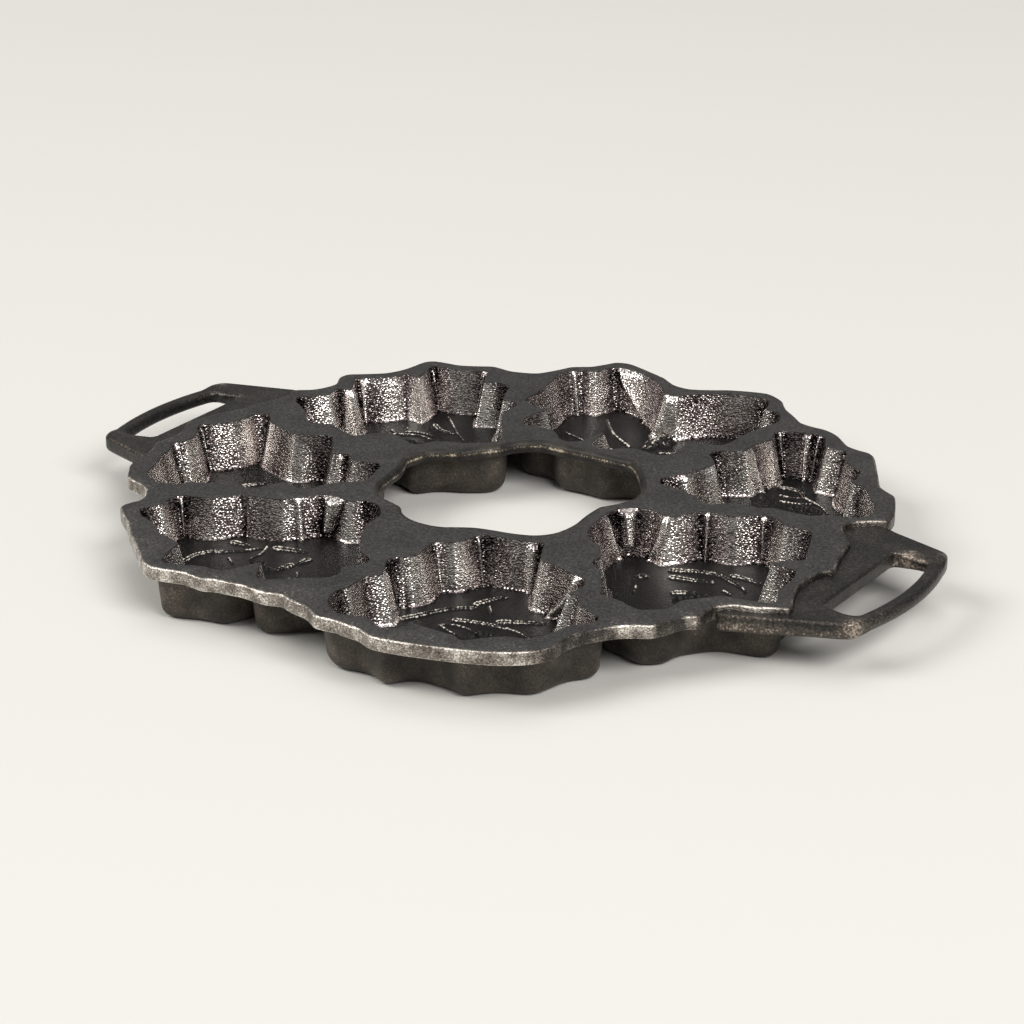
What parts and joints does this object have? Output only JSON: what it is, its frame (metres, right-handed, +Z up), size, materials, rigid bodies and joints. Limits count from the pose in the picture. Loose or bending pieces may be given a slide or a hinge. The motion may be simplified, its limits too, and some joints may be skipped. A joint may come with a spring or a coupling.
{
  "type": "wreath cake pan",
  "caption": "Cast-iron cake pan shaped as a holly wreath: a bow cup and holly-sprig cups around a centre hole, in one scalloped deck with two D handles.",
  "frame": {"origin": "under the middle of the whole pan, on the surface that its cups stand on", "axes": "+X through the handles, towards the right one seen with the bow at the back; +Y towards the bow; +Z up"},
  "size_m": [0.3804, 0.3132, 0.0245],
  "materials": {
    "deck_iron": "flat seasoned top, fine matt grain",
    "cup_iron": "seasoned as-cast surface, pebbled and slightly glossy",
    "handle_iron": "seasoned as-cast surface, satin"
  },
  "bodies": {
    "root": {"deck_plate": "deck_iron", "cup_bow": "cup_iron", "cup_upper_left": "cup_iron", "cup_left": "cup_iron", "cup_lower_left": "cup_iron", "cup_lower_right": "cup_iron", "cup_right": "cup_iron", "cup_upper_right": "cup_iron", "handle_left": "handle_iron", "handle_right": "handle_iron"}
  },
  "joints": []
}
